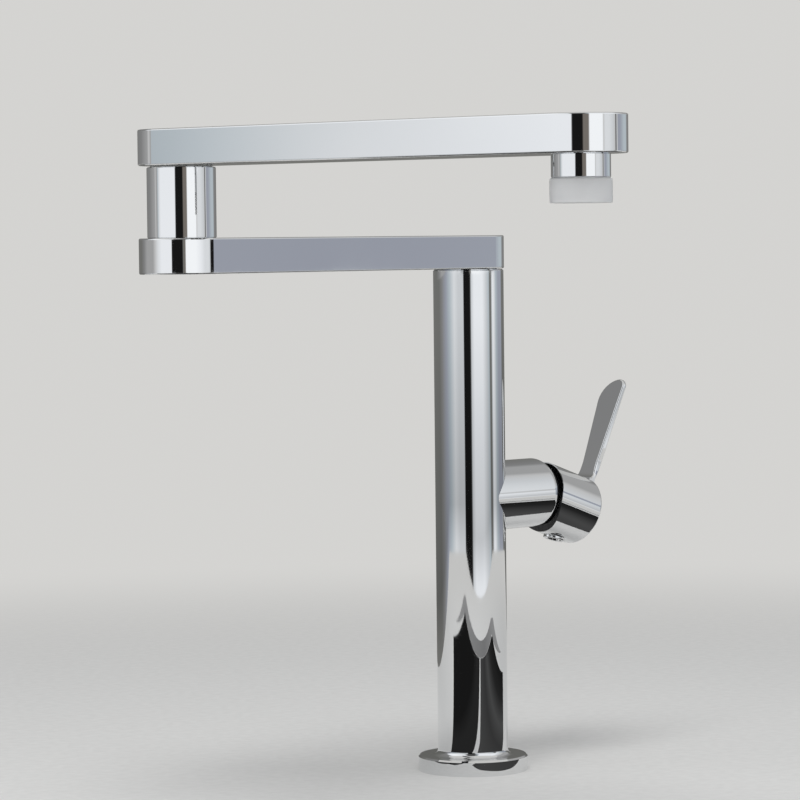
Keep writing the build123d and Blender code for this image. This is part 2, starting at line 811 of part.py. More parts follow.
# Lower arm: a bar that widens from the column to a rounder knuckle, hollow inside
with BuildPart() as lower_arm:
    with BuildSketch(level(0, 0, lower_arm_bottom)):
        Circle(lower_arm_root_radius)
        with Locations((knuckle_x, knuckle_y)):
            Circle(lower_arm_end_radius)
        make_hull()
    extrude(amount=arm_thickness)
    fillet(
        lower_arm.faces().filter_by(Axis.Z).edges(),
        radius=lower_arm_edge,
    )
    with BuildSketch(level(knuckle_x / 2, knuckle_y / 2, lower_arm_bottom + arm_wall)):
        SlotCenterToCenter(lower_arm_length, arm_channel_width, rotation=lower_arm_heading)
    extrude(amount=arm_thickness - 2 * arm_wall, mode=Mode.SUBTRACT)
    bore_at(level(0, 0, lower_arm_bottom), spigot_boss_radius + running_gap, arm_wall)
    bore_at(
        level(knuckle_x, knuckle_y, lower_arm_top - arm_wall),
        spigot_boss_radius + running_gap,
        arm_wall,
    )
finish(lower_arm, "lower_arm")

make_spigot(0, 0, lower_arm_bottom, "lower_spigot")
make_seal_rings(0, 0, lower_arm_bottom, "lower_seal_rings")

# Riser: the turned post between the two arms, screwed into the lower arm's knuckle,
# with the upper arm's socket in its top
with BuildPart() as riser:
    disc_at(level(knuckle_x, knuckle_y, lower_arm_top), riser_radius, riser_top - lower_arm_top)
    chamfer(riser.edges().filter_by(GeomType.CIRCLE), length=riser_edge)
    disc_at(level(knuckle_x, knuckle_y, lower_arm_top - arm_wall), spigot_boss_radius, arm_wall)
    swivel_socket_cuts(knuckle_x, knuckle_y, riser_top, riser_swivel_gap)
    bore_at(
        level(knuckle_x, knuckle_y, lower_arm_top - arm_wall),
        spigot_bore_radius,
        riser_top - lower_arm_top,
    )
finish(riser, "riser")

make_swivel_washer(knuckle_x, knuckle_y, riser_top, riser_swivel_gap, "riser_washer")
make_clip(knuckle_x, knuckle_y, upper_arm_bottom, "riser_clip")

# Upper arm: a bar with two equal round ends, hollow inside
with BuildPart() as upper_arm:
    upper_middle_x = (knuckle_x + nozzle_x) / 2
    upper_middle_y = (knuckle_y + nozzle_y) / 2
    with BuildSketch(level(upper_middle_x, upper_middle_y, upper_arm_bottom)):
        SlotCenterToCenter(upper_arm_length, 2 * upper_arm_radius, rotation=upper_arm_heading)
    extrude(amount=arm_thickness)
    fillet(
        upper_arm.faces().filter_by(Axis.Z).edges(),
        radius=upper_arm_edge,
    )
    with BuildSketch(level(upper_middle_x, upper_middle_y, upper_arm_bottom + arm_wall)):
        SlotCenterToCenter(upper_arm_length, arm_channel_width, rotation=upper_arm_heading)
    extrude(amount=arm_thickness - 2 * arm_wall, mode=Mode.SUBTRACT)
    for hole_x, hole_y in ((knuckle_x, knuckle_y), (nozzle_x, nozzle_y)):
        bore_at(level(hole_x, hole_y, upper_arm_bottom), spigot_boss_radius + running_gap, arm_wall)
finish(upper_arm, "upper_arm")

make_spigot(knuckle_x, knuckle_y, upper_arm_bottom, "upper_spigot")
make_seal_rings(knuckle_x, knuckle_y, upper_arm_bottom, "upper_seal_rings")

# Nozzle collar: a chrome ring screwed up into the upper arm
with BuildPart() as nozzle_collar:
    disc_at(level(nozzle_x, nozzle_y, collar_bottom), collar_radius, collar_height)
    chamfer(nozzle_collar.edges().filter_by(GeomType.CIRCLE), length=collar_edge)
    disc_at(level(nozzle_x, nozzle_y, upper_arm_bottom), spigot_boss_radius, arm_wall)
    bore_at(
        level(nozzle_x, nozzle_y, collar_bottom),
        aerator_ledge_radius,
        collar_height + arm_wall,
    )
    bore_at(
        level(nozzle_x, nozzle_y, collar_bottom),
        aerator_neck_radius + running_gap,
        aerator_neck_height + aerator_washer_thickness,
    )
finish(nozzle_collar, "nozzle_collar")

# Aerator housing: a translucent ring with a faintly barrelled side, screwed up into
# the collar by its neck and open below
with BuildPart() as aerator_housing:
    with BuildSketch(Plane(origin=(nozzle_x, nozzle_y, aerator_bottom), x_dir=(1, 0, 0), z_dir=(0, -1, 0))):
        with BuildLine():
            side_low = (aerator_radius - aerator_barrel, 0)
            side_high = (aerator_radius - aerator_barrel, aerator_height - aerator_top_bevel)
            Line((0, 0), side_low)
            ThreePointArc(side_low, (aerator_radius, aerator_height / 2), side_high)
            Polyline(
                side_high,
                (aerator_radius - aerator_barrel - aerator_top_bevel, aerator_height),
                (aerator_neck_radius, aerator_height),
                (aerator_neck_radius, aerator_height + aerator_neck_height),
                (0, aerator_height + aerator_neck_height),
                (0, 0),
            )
        make_face()
    revolve(axis=Axis((nozzle_x, nozzle_y, 0), (0, 0, 1)))
    fillet(
        aerator_housing.faces().sort_by(Axis.Z)[0].edges(),
        radius=aerator_lip_round,
    )
    bore_at(
        level(nozzle_x, nozzle_y, aerator_bottom),
        aerator_mouth_radius,
        insert_recess + insert_height + film_gap,
    )
    bore_at(
        level(nozzle_x, nozzle_y, aerator_bottom),
        aerator_ledge_radius,
        aerator_height + aerator_neck_height,
    )
finish(aerator_housing, "aerator_housing")

# Aerator insert: a plug pierced by a field of small round holes
with BuildPart() as aerator_insert:
    insert_plane = level(nozzle_x, nozzle_y, aerator_bottom + insert_recess)
    disc_at(insert_plane, aerator_mouth_radius - film_gap, insert_height)
    with BuildSketch(insert_plane):
        with HexLocations(insert_hole_pitch / 2, insert_hole_rows, insert_hole_rows, major_radius=False):
            Circle(insert_hole_radius)
    extrude(amount=insert_height, mode=Mode.SUBTRACT)
finish(aerator_insert, "aerator_insert")

# Aerator washer between the housing's neck and the collar
with BuildPart() as aerator_washer:
    disc_at(
        level(nozzle_x, nozzle_y, aerator_bottom + aerator_height + aerator_neck_height + film_gap),
        aerator_neck_radius - film_gap,
        aerator_washer_thickness - 2 * film_gap,
        aerator_ledge_radius,
    )
finish(aerator_washer, "aerator_washer")
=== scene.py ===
import math

import bmesh
import bpy
from mathutils import Matrix, Vector


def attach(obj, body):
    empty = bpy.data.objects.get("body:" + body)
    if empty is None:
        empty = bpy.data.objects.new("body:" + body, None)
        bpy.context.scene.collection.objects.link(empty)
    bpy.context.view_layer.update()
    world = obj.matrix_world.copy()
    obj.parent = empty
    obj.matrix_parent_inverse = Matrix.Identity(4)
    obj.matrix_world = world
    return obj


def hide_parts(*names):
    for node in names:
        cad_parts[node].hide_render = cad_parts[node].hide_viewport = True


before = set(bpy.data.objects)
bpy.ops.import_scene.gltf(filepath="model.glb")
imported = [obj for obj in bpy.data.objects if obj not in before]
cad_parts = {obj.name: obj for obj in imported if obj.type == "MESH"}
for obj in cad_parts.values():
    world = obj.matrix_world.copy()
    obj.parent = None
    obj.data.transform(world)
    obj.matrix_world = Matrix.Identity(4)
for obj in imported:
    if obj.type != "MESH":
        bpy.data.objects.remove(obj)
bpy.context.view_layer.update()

# All lengths are in metres
vertical = Vector((0, 0, 1))

# Camera: the photograph's view, worked out from the faucet's own edges. Its turn is
# the angle in plan between the lever's axis and the picture's right. Its pitch and roll
# are in radians, and its lens is in millimetres.
camera_turn = math.radians(42.5)
camera_pitch = 0.045
camera_roll = 0.011
camera_right = -0.0346
camera_distance = 1.7401
camera_height = 0.2634
camera_lens = 157.5

# Studio: rings of light and dark cards round the object, seen only in reflections, with
# a soft lamp above. The low ring is flat in front and behind, at these turns in degrees
# from the camera to its right, and round elsewhere.
low_ring_radius = 1.25
low_ring_top = 0.2395
front_reach, front_turn = 0.88, 28.3
back_reach, back_turn = 0.4306, -146.6
high_ring_radius = 2.0
middle_ring_bottom = 0.20
middle_ring_top = 0.2697
high_ring_top = 0.42
upper_ring_top = 2.35
ring_steps = 180
level_height = 0.0012
far_level_height = 0.0008

# Background, and the floor that fades into it away from the object
background = (0.66, 0.655, 0.64)
fill_colour = (0.55, 0.56, 0.58)
floor_tones = ((0.64, 0.635, 0.62), (0.68, 0.675, 0.66))
floor_radius = 25.0
floor_steps = 64
fade_start = 0.40
fade_end = 1.15


def plan_axes():
    """Level directions: the camera's right, and away from it."""
    c, s = math.cos(camera_turn), math.sin(camera_turn)
    return Vector((c, -s, 0)), Vector((s, c, 0))


def axes_matrix(x, y, z, place=(0, 0, 0)):
    """Matrix of an object with these axes at this place."""
    return Matrix.Translation(place) @ Matrix((x, y, z)).transposed().to_4x4()


def add_camera():
    right, away = plan_axes()
    forward = away * math.cos(camera_pitch) - vertical * math.sin(camera_pitch)
    pitched = away * math.sin(camera_pitch) + vertical * math.cos(camera_pitch)
    c, s = math.cos(camera_roll), math.sin(camera_roll)
    side = right * c - pitched * s
    up = right * s + pitched * c
    data = bpy.data.cameras.new("camera")
    data.sensor_width = 36.0
    data.lens = camera_lens
    data.clip_start = 0.05
    data.clip_end = 60.0
    camera = bpy.data.objects.new("camera", data)
    place = right * camera_right - away * camera_distance + vertical * camera_height
    camera.matrix_world = axes_matrix(side, up, -forward, place)
    bpy.context.scene.collection.objects.link(camera)
    bpy.context.scene.camera = camera


class Nodes:
    """Shorthand for building a node tree."""

    def __init__(self, tree):
        self.tree = tree
        tree.nodes.clear()

    def add(self, kind, **settings):
        node = self.tree.nodes.new(kind)
        for name, value in settings.items():
            setattr(node, name, value)
        return node

    def link(self, start, end):
        self.tree.links.new(start, end)

    def math(self, operation, *values):
        node = self.add("ShaderNodeMath", operation=operation)
        for socket, value in zip(node.inputs, values):
            if isinstance(value, (int, float)):
                socket.default_value = value
            else:
                self.link(value, socket)
        return node.outputs[0]

    def map_range(self, value, start, end, low, high, kind="LINEAR"):
        node = self.add("ShaderNodeMapRange", interpolation_type=kind)
        node.inputs["From Min"].default_value = start
        node.inputs["From Max"].default_value = end
        node.inputs["To Min"].default_value = low
        node.inputs["To Max"].default_value = high
        self.link(value, node.inputs["Value"])
        return node.outputs["Result"]

    def place(self):
        """Place in the object's own frame."""
        return self.add("ShaderNodeTexCoord").outputs["Object"]

    def parts(self, vector):
        """The X, Y and Z of a vector."""
        node = self.add("ShaderNodeSeparateXYZ")
        self.link(vector, node.inputs[0])
        return node.outputs

    def noise(self, vector, scale, detail=3.0, roughness=0.5):
        node = self.add("ShaderNodeTexNoise")
        node.inputs["Scale"].default_value = scale
        node.inputs["Detail"].default_value = detail
        node.inputs["Roughness"].default_value = roughness
        self.link(vector, node.inputs["Vector"])
        return node.outputs["Fac"]

    def ramp(self, factor, stops):
        """Colour ramp. A stop's colour may be one number, for a grey."""
        node = self.add("ShaderNodeValToRGB")
        elements = node.color_ramp.elements
        while len(elements) < len(stops):
            elements.new(0.5)
        for element, (place, colour) in zip(elements, stops):
            element.position = place
            if isinstance(colour, (int, float)):
                colour = (colour, colour, colour)
            element.color = (*colour, 1.0)
        self.link(factor, node.inputs["Fac"])
        return node.outputs["Color"]

    def drift(self, noise, low, high):
        """Colour that drifts between two tones with a noise."""
        return self.ramp(noise, ((0.3, low), (0.7, high)))


def new_material(name):
    material = bpy.data.materials.new(name)
    material.use_nodes = True
    tree = Nodes(material.node_tree)
    output = tree.add("ShaderNodeOutputMaterial")
    return material, tree, output


def surface(name, tones, metallic, rough, scale, bump_scale, bump_height, rings=None, **sockets):
    """A material whose colour and roughness drift with soft noise, plus fine bump, and
    turning marks at this scale of rings."""
    material, tree, output = new_material(name)
    shader = tree.add("ShaderNodeBsdfPrincipled")
    shader.inputs["Metallic"].default_value = metallic
    for socket, value in sockets.items():
        shader.inputs[socket].default_value = value
    where = tree.place()
    tree.link(tree.drift(tree.noise(where, scale), *tones), shader.inputs["Base Color"])
    smear = tree.noise(where, scale * 2.3, detail=5.0, roughness=0.62)
    tree.link(tree.map_range(smear, 0.35, 0.7, *rough), shader.inputs["Roughness"])
    height = tree.noise(where, bump_scale, detail=2.0)
    if rings:
        wave = tree.add("ShaderNodeTexWave", wave_type="RINGS", rings_direction="Z")
        wave.inputs["Scale"].default_value = rings
        wave.inputs["Distortion"].default_value = 1.5
        tree.link(where, wave.inputs["Vector"])
        height = tree.math("MULTIPLY_ADD", wave.outputs["Fac"], 0.6, height)
    bump = tree.add("ShaderNodeBump")
    bump.inputs["Strength"].default_value = 1.0
    bump.inputs["Distance"].default_value = bump_height
    tree.link(height, bump.inputs["Height"])
    tree.link(bump.outputs["Normal"], shader.inputs["Normal"])
    tree.link(shader.outputs["BSDF"], output.inputs["Surface"])
    return material


materials = {
    "chrome": surface(
        "chrome", tones=((0.79, 0.80, 0.81), (0.83, 0.835, 0.84)), metallic=1.0,
        rough=(0.012, 0.045), scale=9.0, bump_scale=14.0, bump_height=0.00003,
    ),
    "bare_brass": surface(
        "bare_brass", tones=((0.70, 0.52, 0.27), (0.80, 0.62, 0.34)), metallic=1.0,
        rough=(0.22, 0.36), scale=60.0, bump_scale=240.0, bump_height=0.00004, rings=420.0,
    ),
    "steel": surface(
        "steel", tones=((0.52, 0.53, 0.54), (0.62, 0.63, 0.64)), metallic=1.0,
        rough=(0.22, 0.38), scale=50.0, bump_scale=200.0, bump_height=0.00003, rings=500.0,
    ),
    "rubber": surface(
        "rubber", tones=((0.018, 0.018, 0.018), (0.035, 0.034, 0.033)), metallic=0.0,
        rough=(0.62, 0.82), scale=90.0, bump_scale=900.0, bump_height=0.00008,
    ),
    "black_plastic": surface(
        "black_plastic", tones=((0.010, 0.010, 0.011), (0.018, 0.018, 0.019)), metallic=0.0,
        rough=(0.34, 0.48), scale=80.0, bump_scale=700.0, bump_height=0.00004,
    ),
    "cartridge_plastic": surface(
        "cartridge_plastic", tones=((0.55, 0.56, 0.55), (0.62, 0.63, 0.61)), metallic=0.0,
        rough=(0.36, 0.5), scale=70.0, bump_scale=600.0, bump_height=0.00004,
    ),
    "ceramic": surface(
        "ceramic", tones=((0.80, 0.79, 0.76), (0.86, 0.85, 0.83)), metallic=0.0,
        rough=(0.12, 0.2), scale=90.0, bump_scale=800.0, bump_height=0.00001,
    ),
    "clear_plastic": surface(
        "clear_plastic", tones=((0.90, 0.905, 0.915), (0.95, 0.955, 0.96)), metallic=0.0,
        rough=(0.3, 0.42), scale=120.0, bump_scale=500.0, bump_height=0.00004,
        **{"Transmission Weight": 0.35, "IOR": 1.49},
    ),
    "aerator_plastic": surface(
        "aerator_plastic", tones=((0.60, 0.61, 0.62), (0.68, 0.69, 0.70)), metallic=0.0,
        rough=(0.4, 0.52), scale=120.0, bump_scale=600.0, bump_height=0.00004,
    ),
}

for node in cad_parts.values():
    slot = node.material_slots[0]
    slot.material = materials[slot.material.name.split(".")[0]]


def add_mesh(name, points, faces, material):
    mesh = bpy.data.meshes.new(name)
    mesh.from_pydata(points, [], faces)
    mesh.materials.append(material)
    mesh.update()
    piece = bpy.data.objects.new(name, mesh)
    bpy.context.scene.collection.objects.link(piece)
    return piece


def circle_point(radius, i, steps, z):
    turn = 2 * math.pi * i / steps
    return radius * math.cos(turn), radius * math.sin(turn), z


def grid_faces(rows, columns):
    """Faces between rows of points, closed both ways."""
    faces = []
    for row in range(rows):
        start, after = row * columns, (row + 1) % rows * columns
        for i in range(columns):
            j = (i + 1) % columns
            faces.append((start + i, start + j, after + j, after + i))
    return faces


def lathe(origin, axis, across, section, steps):
    """Closed section, as (radius, distance along the axis), turned round the axis."""
    third = axis.cross(across)
    points = []
    for i in range(steps):
        turn = 2 * math.pi * i / steps
        radial = across * math.cos(turn) + third * math.sin(turn)
        points += [origin + radial * radius + axis * along for radius, along in section]
    return points, grid_faces(steps, len(section))


def finish_piece(name, points, faces, body, slot, smooth_angle=35.0):
    """Make a closed, outward-facing piece that rides on a body."""
    piece = add_mesh(name, [tuple(point) for point in points], faces, materials[slot])
    shape = bmesh.new()
    shape.from_mesh(piece.data)
    bmesh.ops.recalc_face_normals(shape, faces=shape.faces)
    shape.to_mesh(piece.data)
    shape.free()
    piece.data.shade_smooth()
    piece.data.set_sharp_from_angle(angle=math.radians(smooth_angle))
    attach(piece, body)
    return piece


# Handle frame, as in the CAD: its pivot, out along the hub, and up
handle_pivot = Vector((0.0427, 0, 0.1362))
handle_tilt = math.radians(19.0)
hub_out = Vector((math.cos(handle_tilt), 0, -math.sin(handle_tilt)))
hub_up = Vector((math.sin(handle_tilt), 0, math.cos(handle_tilt)))

# The mouth is cut back below the pivot, in three leans: where each begins, up from the
# hub's axis, how far out it begins, and how far it leans in degrees
mouth_cuts = ((0.0020, 0.0050, 8.0), (-0.0030, 0.00570, 17.0), (-0.0080, 0.00723, 27.0))
merge_distance = 0.000001
cut_tolerance = 0.0000001
lip_thickness = 0.0001

# The liner is a ball-shaped shell round the pivot, between two angles from the hub's
# axis in degrees. Its black is painted shade, standing in for the shadow in the hub's hollow.
liner_outer, liner_inner = 0.01760, 0.01746
liner_start, liner_end = 17.5, 72.9
liner_rows, liner_steps = 28, 96

# The screw's collar: how far out it sits, and its section, as (radius, distance from
# the hub's axis)
collar_reach = 0.0230
collar_steps = 64
collar_section = [
    (0.00340, 0.01650), (0.00488, 0.01650), (0.00562, 0.01724), (0.00562, 0.01820),
    (0.00555, 0.01838), (0.00538, 0.01848), (0.00430, 0.01848), (0.00412, 0.01840),
    (0.00400, 0.01824), (0.00388, 0.01720),
]

# The shank is threaded below the deck and plain above it, with a narrower neck at the
# top. flank_slope is how steeply the thread's groove falls, and crest_flat how much of
# the crest stays flat.
shank_length = 0.048
thread_pitch = 0.0015
thread_crest = 0.0160
thread_depth = 0.0009
thread_run_out = 0.001
thread_bevel = 0.001
flank_slope = 1.4
crest_flat = 0.2
shank_bore = 0.0125
neck_radius = 0.01545
neck_bottom = 0.00798
neck_top = 0.02198
shank_steps = 72
rows_per_turn = 8


def has_normal(normal):
    """Corners that a cut makes have no kept normal, only zeros."""
    return normal.length > 0.5


def cut_mouth(mesh):
    """Cut a mesh back at the hub's mouth, close the cut and keep the shading. Gives the
    new faces as lists of points."""
    kept = mesh.attributes.new("kept_normal", "FLOAT_VECTOR", "CORNER")
    normals = [0.0] * (len(mesh.loops) * 3)
    mesh.corner_normals.foreach_get("vector", normals)
    kept.data.foreach_set("vector", normals)
    shape = bmesh.new()
    shape.from_mesh(mesh)
    bmesh.ops.remove_doubles(shape, verts=shape.verts, dist=merge_distance)
    for height, reach, lean in mouth_cuts:
        lean = math.radians(lean)
        facing = -(hub_out * math.cos(lean) + hub_up * math.sin(lean))
        bmesh.ops.bisect_plane(
            shape,
            geom=shape.verts[:] + shape.edges[:] + shape.faces[:],
            dist=cut_tolerance,
            plane_co=handle_pivot + hub_out * reach + hub_up * height,
            plane_no=facing,
            clear_outer=True,
        )
        rim = [edge for edge in shape.edges if edge.is_boundary]
        bmesh.ops.triangle_fill(shape, edges=rim, normal=facing, use_beauty=True)
    bmesh.ops.recalc_face_normals(shape, faces=shape.faces)
    layer = shape.loops.layers.float_vector["kept_normal"]
    closing = [face for face in shape.faces if not has_normal(face.loops[0][layer])]
    faces = [[vert.co.copy() for vert in face.verts] for face in closing]
    shape.to_mesh(mesh)
    shape.free()
    kept = mesh.attributes["kept_normal"]
    normals = [0.0] * (len(mesh.loops) * 3)
    kept.data.foreach_get("vector", normals)
    split = []
    for polygon in mesh.polygons:
        for loop in polygon.loop_indices:
            normal = Vector(normals[3 * loop : 3 * loop + 3])
            split.append(normal.normalized() if has_normal(normal) else polygon.normal.copy())
    mesh.attributes.remove(kept)
    mesh.normals_split_custom_set(split)
    return faces


def add_cut_handle():
    """The handle with its mouth cut back, and a thin black lip on the cut as painted shade where
    the mouth lies in shadow.
    """
    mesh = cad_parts["lever_handle"].data.copy()
    mesh.name = "handle_cut"
    closing = cut_mouth(mesh)
    mesh.materials.clear()
    mesh.materials.append(materials["chrome"])
    handle = bpy.data.objects.new("handle_cut", mesh)
    bpy.context.scene.collection.objects.link(handle)
    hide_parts("lever_handle")
    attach(handle, "handle_body")
    places = {}
    front = []
    for face in closing:
        keys = [tuple(round(c, 8) for c in point) for point in face]
        front.append([places.setdefault(key, len(places)) for key in keys])
    base = [Vector(place) for place in places]
    count = len(base)
    edges = {(a, b) for face in front for a, b in zip(face, face[1:] + face[:1])}
    back = [[count + i for i in reversed(face)] for face in front]
    sides = [(b, a, count + a, count + b) for a, b in edges if (b, a) not in edges]
    # The lip's black is painted shade on the cut faces
    points = [point - hub_out * lip_thickness for point in base] + base
    finish_piece("mouth_shade_lip", points, front + back + sides, "handle_body", "black_plastic")


def add_cavity_shade_liner():
    """Thin black liner of the hub's ball-shaped hollow, seen past the housing's rim. Its black is
    painted shade for the hollow's shadow.
    """
    start, end = math.radians(liner_start), math.radians(liner_end)
    turns = [start + (end - start) * i / liner_rows for i in range(liner_rows + 1)]
    section = [(liner_outer * math.sin(turn), liner_outer * math.cos(turn)) for turn in turns]
    section += [
        (liner_inner * math.sin(turn), liner_inner * math.cos(turn)) for turn in reversed(turns)
    ]
    points, faces = lathe(handle_pivot, hub_out, hub_up, section, liner_steps)
    liner = finish_piece("cavity_shade_liner", points, faces, "handle_body", "black_plastic")
    cut_mouth(liner.data)


def add_screw_collar():
    """Bright collar round the set screw, standing a little proud of the hub."""
    centre = handle_pivot + hub_out * collar_reach
    points, faces = lathe(centre, -hub_up, hub_out, collar_section, collar_steps)
    finish_piece("screw_collar", points, faces, "handle_body", "chrome")


def thread_radius(z, turned):
    """Radius of the threaded part at a height and a share of a turn."""
    wave = abs(((z / thread_pitch - turned) % 1.0) * 2 - 1)
    groove = min(1.0, max(0.0, wave * flank_slope - crest_flat))
    radius = thread_crest - thread_depth * groove * min(1.0, -z / thread_run_out)
    return min(radius, thread_crest - thread_bevel + (z + shank_length))


def add_threaded_shank():
    """The shank with its real thread: a helical ridge over the part below the deck."""
    turn_steps = range(shank_steps)
    rows = round(shank_length / thread_pitch * rows_per_turn)
    points = []
    for row in range(rows + 1):
        z = -shank_length + shank_length * row / rows
        for i in turn_steps:
            points.append(circle_point(thread_radius(z, i / shank_steps), i, shank_steps, z))
    for radius, z in (
        (thread_crest, neck_bottom), (neck_radius, neck_bottom), (neck_radius, neck_top),
        (shank_bore, neck_top), (shank_bore, -shank_length),
    ):
        points += [circle_point(radius, i, shank_steps, z) for i in turn_steps]
    faces = grid_faces(len(points) // shank_steps, shank_steps)
    shank = finish_piece(
        "threaded_shank", points, faces, "column_body", "bare_brass", smooth_angle=50.0
    )
    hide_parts("mounting_shank")


def emission(name, colour_of, *details):
    """Material that shines with a colour made by its own nodes."""
    material, tree, output = new_material(name)
    light = tree.add("ShaderNodeEmission")
    tree.link(colour_of(tree, *details), light.inputs["Color"])
    tree.link(light.outputs["Emission"], output.inputs["Surface"])
    return material


def ring_colour(tree, stops, foot=None):
    """Card colours by angle from the camera, in degrees, positive to its right, and
    darker at the ring's foot."""
    x, y, z = tree.parts(tree.place())
    angle = tree.math("ARCTAN2", x, y)
    share = tree.math("MULTIPLY_ADD", angle, 1 / (2 * math.pi), 0.5)
    colour = tree.ramp(share, [((degrees + 180) / 360, tone) for degrees, tone in stops])
    if foot is None:
        return colour
    height = tree.math("MULTIPLY", z, 1 / low_ring_top)
    scaled = tree.add("ShaderNodeVectorMath", operation="MULTIPLY")
    tree.link(colour, scaled.inputs[0])
    tree.link(tree.ramp(height, foot), scaled.inputs[1])
    return scaled.outputs[0]


def level_colour(tree, stops):
    """Card greys along a level card's own X, in metres from the column's axis."""
    x = tree.parts(tree.place())["X"]
    share = tree.math("MULTIPLY_ADD", x, 0.5, 0.5)
    return tree.ramp(share, [(0.5 + 0.5 * along, grey_level) for along, grey_level in stops])


def reflected_only(piece, diffuse=False):
    """Keep a studio card out of the picture, and its shadow too."""
    piece.visible_camera = False
    piece.visible_shadow = False
    piece.visible_diffuse = diffuse
    piece.visible_transmission = False


def low_reach(turn):
    """Distance to the low cards at a turn from the camera."""
    reach = low_ring_radius
    for plane_reach, plane_turn in ((front_reach, front_turn), (back_reach, back_turn)):
        facing = math.cos(turn - math.radians(plane_turn))
        if facing > 0:
            reach = min(reach, plane_reach / facing)
    return reach


def high_reach(turn):
    """Distance to the cards above, which are round."""
    return high_ring_radius


def add_ring(name, bottom, top, reach_of, material, diffuse):
    """Upright cards all round. Their own Y points at the camera and X to its right."""
    points = []
    faces = []
    for i in range(ring_steps):
        turn = 2 * math.pi * i / ring_steps
        x, y = reach_of(turn) * math.sin(turn), reach_of(turn) * math.cos(turn)
        points += [(x, y, bottom), (x, y, top)]
        j = (i + 1) % ring_steps
        faces.append((2 * i, 2 * j, 2 * j + 1, 2 * i + 1))
    ring = add_mesh(name, points, faces, material)
    right, away = plan_axes()
    ring.matrix_world = axes_matrix(right, -away, vertical)
    reflected_only(ring, diffuse)


def add_level_card(name, outline, height, material):
    """Level card near the floor. Its own Y runs to the flat front of the low cards."""
    card = add_mesh(name, [(u, v, height) for u, v in outline], [range(len(outline))], material)
    right, away = plan_axes()
    turn = math.radians(front_turn)
    along = right * math.cos(turn) + away * math.sin(turn)
    front = right * math.sin(turn) - away * math.cos(turn)
    card.matrix_world = axes_matrix(along, front, vertical)
    reflected_only(card)


# Tones of the studio's cards
black = (0.01, 0.01, 0.01)
soot = (0.08, 0.08, 0.08)
brown = (0.2, 0.18, 0.16)
dim = (0.18, 0.18, 0.17)
grey = (0.25, 0.25, 0.25)
middle_grey = (0.4, 0.4, 0.4)
slate = (0.36, 0.38, 0.44)
blue_grey = (0.5, 0.56, 0.6)
soft_grey = (0.6, 0.6, 0.6)
pale = (0.68, 0.7, 0.72)
light = (0.8, 0.82, 0.84)
bright = (0.95, 0.97, 1.0)
white = (1.06, 1.08, 1.1)

# Where each tone lies round the object, in degrees from the camera to its right
low_stops = [
    (-180, dim), (-112, dim), (-98, grey), (-80, slate), (-66, blue_grey), (-49, light),
    (-35, pale), (-18.5, pale), (-17.5, black), (2, black), (4.5, soot), (7, pale),
    (16, bright), (44, bright), (58, pale), (68, blue_grey), (71, dim), (77, dim), (80, pale),
    (84, bright), (91, light), (98, blue_grey), (111, slate), (128, slate), (134, dim),
    (180, dim),
]
high_stops = [
    (-180, dim), (-120, grey), (-91, middle_grey), (-89.5, soft_grey), (-87.5, soft_grey),
    (-85.5, middle_grey), (-81, middle_grey), (-78.5, blue_grey), (-73.5, light),
    (-67.5, bright), (-20.5, bright), (-19.5, black), (2.5, black), (4, brown), (15, brown),
    (17, white), (45, white), (48, soft_grey), (51, light), (62, light), (74, pale),
    (80.5, soft_grey), (82, soot), (84.5, soot), (85.5, pale), (88.5, soft_grey),
    (90, slate), (99, slate), (117, blue_grey), (131, blue_grey), (139, grey), (180, dim),
]
middle_stops = [
    (-180, dim), (-128, dim), (-112, grey), (-98, middle_grey), (-77, middle_grey),
    (-70, soft_grey), (-61.5, light), (-52, bright), (-26, bright), (-25.5, black),
    (0, black), (1.5, dim), (7, brown), (8.5, white), (34, white), (48, bright), (60, light),
    (72, light), (78, pale), (79, black), (85.5, black), (87, slate), (99, slate),
    (117, blue_grey), (131, blue_grey), (139, grey), (180, dim),
]
upper_stops = [
    (-180, dim), (-102, grey), (-92, bright), (-68, white), (-30, light), (-20, soot),
    (6, soot), (16, blue_grey), (18, bright), (80, bright), (88, light), (96, pale),
    (109, soft_grey), (117, middle_grey), (146, middle_grey), (156, grey), (180, dim),
]

# How the low cards darken near their foot: share of their height, share of their tone
low_foot = ((0.0, 1.0), (0.035, 0.96), (0.17, 0.66), (0.875, 1.0))

# Level cards: two dark ones in front of the column, one each side of a pale strip, and a
# shaded one round them. Their greys go by their own X, and their outlines by X and Y.
dark_stops = [
    (-0.61, 0.01), (-0.20, 0.01), (-0.12, 0.02), (-0.04, 0.02), (-0.02, 0.06), (0.08, 0.04),
    (0.16, 0.07), (0.18, 0.06), (0.22, 0.04), (0.27, 0.02), (0.40, 0.01),
]
shade_stops = [(-0.75, 0.3), (-0.3, 0.25), (0.1, 0.2), (0.5, 0.3)]
left_outline = [
    (-0.61, -0.02), (-0.060, -0.0125), (-0.0575, 0.003), (-0.056, 0.020), (-0.0495, 0.029),
    (-0.046, 0.045), (-0.042, 0.08), (-0.045, 0.487), (-0.60, 0.487),
]
right_outline = [
    (-0.031, 0.051), (-0.0145, 0.040), (0.004, 0.0346), (0.030, 0.0325), (0.060, 0.026),
    (0.12, 0.014), (0.40, 0.004), (0.40, 0.455), (0.36, 0.487), (-0.025, 0.487),
    (-0.018, 0.12), (-0.0235, 0.079),
]
far_outline = [
    (-0.70, 0.10), (-0.60, 0.492), (0.38, 0.492), (0.50, 0.10), (0.50, 0.53), (0.42, 0.59),
    (-0.66, 0.59), (-0.72, 0.53),
]


